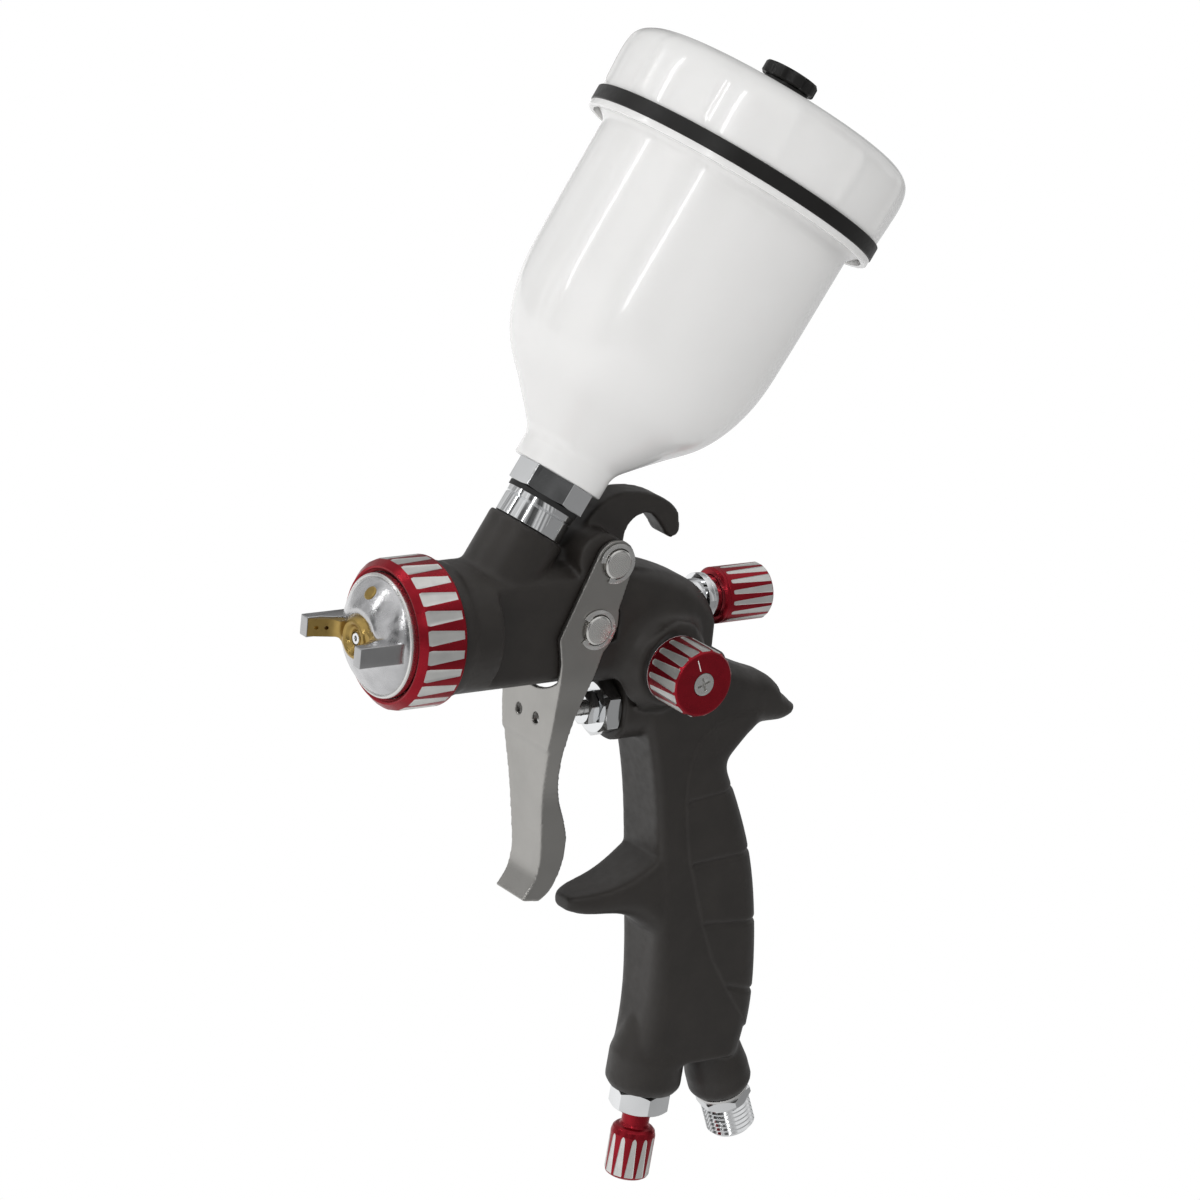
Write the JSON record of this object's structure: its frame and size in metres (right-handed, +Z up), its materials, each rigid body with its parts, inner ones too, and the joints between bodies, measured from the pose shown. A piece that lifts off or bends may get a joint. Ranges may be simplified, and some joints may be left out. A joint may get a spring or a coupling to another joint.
{
  "type": "spray gun",
  "caption": "Small gravity-feed spray gun: tilted translucent cup with screw lid, horned air cap, finger trigger, hanging hook, and turning fan, paint and air-pressure controls.",
  "frame": {"origin": "Centre of the air inlet's end face, where the hose fitting or holder screws on.", "axes": "+Z up, -X the way the gun sprays, and Y across it; Y = 0 is the plane that halves the body, and the fan control is on the -Y side."},
  "size_m": [0.1514, 0.081, 0.3106],
  "materials": {
    "body_coating": "matte charcoal-black powder coat",
    "red_anodised": "red anodised, with machined flutes left bright",
    "chrome": "polished chrome plate",
    "satin_steel": "satin, with bright edges",
    "bright_steel": "turned stainless steel",
    "spring_steel": "drawn wire",
    "brass": "machined brass",
    "cup_nylon": "glossy translucent white",
    "black_plastic": "moulded black",
    "white_seal": "white seal plastic",
    "black_seal": "black rubber"
  },
  "bodies": {
    "body": {"gun_body": "body_coating", "cup_adaptor": "chrome", "fluid_tip": "chrome", "air_distributor": "brass", "needle_packing": "white_seal", "packing_spring": "spring_steel", "packing_screw": "brass", "needle_spring": "spring_steel", "fluid_bush": "chrome", "trigger_pivot_pin": "bright_steel", "pivot_pin_clips": "bright_steel", "air_valve_body": "chrome", "air_valve_packing": "white_seal", "air_valve_gland_nut": "chrome", "air_valve_seat": "white_seal", "air_valve_spring": "spring_steel", "fan_bush": "chrome", "regulator_body": "chrome", "air_inlet": "chrome", "inlet_washer": "bright_steel"},
    "trigger_lever": {"trigger": "satin_steel", "needle_pin": "bright_steel", "needle_pin_clips": "bright_steel"},
    "needle_line": {"needle": "bright_steel", "needle_collar": "brass", "needle_locknut": "bright_steel"},
    "air_valve": {"air_valve_stem": "bright_steel", "air_valve_poppet": "brass"},
    "fan_seal": {"fan_stem_seal": "black_seal"},
    "fan_control": {"fan_stem": "bright_steel", "fan_knob": "red_anodised", "fan_knob_screw": "bright_steel"},
    "fluid_seat": {"spring_seat": "brass"},
    "fluid_control": {"fluid_knob": "red_anodised"},
    "regulator_ring": {"regulator_seal": "black_seal"},
    "regulator_control": {"regulator_spindle": "bright_steel", "regulator_knob": "red_anodised"},
    "cap_washer": {"cap_slip_washer": "white_seal"},
    "cap_ring": {"air_cap_ring": "red_anodised", "cap_wire_clip": "bright_steel"},
    "spray_cap": {"air_cap": "satin_steel"},
    "cup_joint": {"cup_gasket": "black_seal"},
    "cup_body": {"cup": "cup_nylon", "cup_nut": "chrome", "paint_strainer": "bright_steel"},
    "lid_joint": {"lid_gasket": "white_seal"},
    "lid_body": {"lid": "cup_nylon", "lid_band": "black_plastic"},
    "vent": {"vent_cap": "black_plastic", "vent_retainer": "white_seal"}
  },
  "joints": [
    {"name": "trigger_pull", "type": "hinge", "parent": "body", "child": "trigger_lever", "pos_m": [-0.0676, 0, 0.17], "axis": [0, -1, 0], "range_deg": [0, 12], "stiffness_Nm_per_rad": 0.5, "springref_deg": -34.38},
    {"name": "needle_slide", "type": "slide", "parent": "body", "child": "needle_line", "axis": [1, 0, 0], "range_m": [0, 0.00363], "deforming": ["needle_spring"]},
    {"name": "air_valve_slide", "type": "slide", "parent": "body", "child": "air_valve", "axis": [1, 0, 0], "range_m": [0, 0.00931], "deforming": ["air_valve_spring"]},
    {"name": "fan_travel", "type": "slide", "parent": "body", "child": "fan_seal", "axis": [0, -1, 0], "range_m": [0, 0.0025]},
    {"name": "fan_turn", "type": "hinge", "parent": "fan_seal", "child": "fan_control", "pos_m": [-0.0486, -0.02, 0.1412], "axis": [0, -1, 0], "range_deg": [0, 721]},
    {"name": "fluid_travel", "type": "slide", "parent": "body", "child": "fluid_seat", "axis": [1, 0, 0], "range_m": [-0.002, 0.003]},
    {"name": "fluid_turn", "type": "hinge", "parent": "fluid_seat", "child": "fluid_control", "pos_m": [-0.0191, 0, 0.1529], "axis": [1, 0, 0], "range_deg": [-721, 1081]},
    {"name": "regulator_travel", "type": "slide", "parent": "body", "child": "regulator_ring", "axis": [-0.0785, 0, -0.9969], "range_m": [-0.003, 0.002]},
    {"name": "regulator_turn", "type": "hinge", "parent": "regulator_ring", "child": "regulator_control", "pos_m": [-0.0316, 0, 0.016], "axis": [-0.0785, 0, -0.9969], "range_deg": [-1081, 721]},
    {"name": "cap_travel", "type": "slide", "parent": "body", "child": "cap_washer", "axis": [-1, 0, 0], "range_m": [0, 0.00375]},
    {"name": "ring_turn", "type": "hinge", "parent": "cap_washer", "child": "cap_ring", "pos_m": [-0.1201, 0, 0.1529], "axis": [-1, 0, 0], "range_deg": [0, 1081]},
    {"name": "air_cap_turn", "type": "hinge", "parent": "cap_washer", "child": "spray_cap", "pos_m": [-0.1281, 0, 0.1529], "axis": [-1, 0, 0], "range_deg": [-90, 90]},
    {"name": "cup_travel", "type": "slide", "parent": "body", "child": "cup_joint", "axis": [0.5135, 0, 0.8581], "range_m": [0, 0.006]},
    {"name": "cup_turn", "type": "hinge", "parent": "cup_joint", "child": "cup_body", "pos_m": [-0.1013, 0, 0.1529], "axis": [0.5135, 0, 0.8581], "range_deg": [0, 1441]},
    {"name": "lid_travel", "type": "slide", "parent": "cup_body", "child": "lid_joint", "axis": [0.5135, 0, 0.8581], "range_m": [0, 0.006]},
    {"name": "lid_turn", "type": "hinge", "parent": "lid_joint", "child": "lid_body", "pos_m": [-0.1013, 0, 0.1529], "axis": [0.5135, 0, 0.8581], "range_deg": [0, 721]},
    {"name": "vent_turn", "type": "hinge", "parent": "lid_body", "child": "vent", "pos_m": [-0.1013, 0, 0.1529], "axis": [0.5135, 0, 0.8581], "range_deg": [-90, 90]}
  ],
  "couplings": [
    {"joint": "needle_slide", "follows": "trigger_pull", "m_per_rad": 0.01728},
    {"joint": "air_valve_slide", "follows": "trigger_pull", "m_per_rad": 0.0444},
    {"joint": "fan_turn", "follows": "fan_travel", "rad_per_m": 5026.5},
    {"joint": "fluid_turn", "follows": "fluid_travel", "rad_per_m": 6283.2},
    {"joint": "regulator_turn", "follows": "regulator_travel", "rad_per_m": 6283.2},
    {"joint": "ring_turn", "follows": "cap_travel", "rad_per_m": 5026.5},
    {"joint": "cup_turn", "follows": "cup_travel", "rad_per_m": 4188.8},
    {"joint": "lid_turn", "follows": "lid_travel", "rad_per_m": 2094.4}
  ]
}
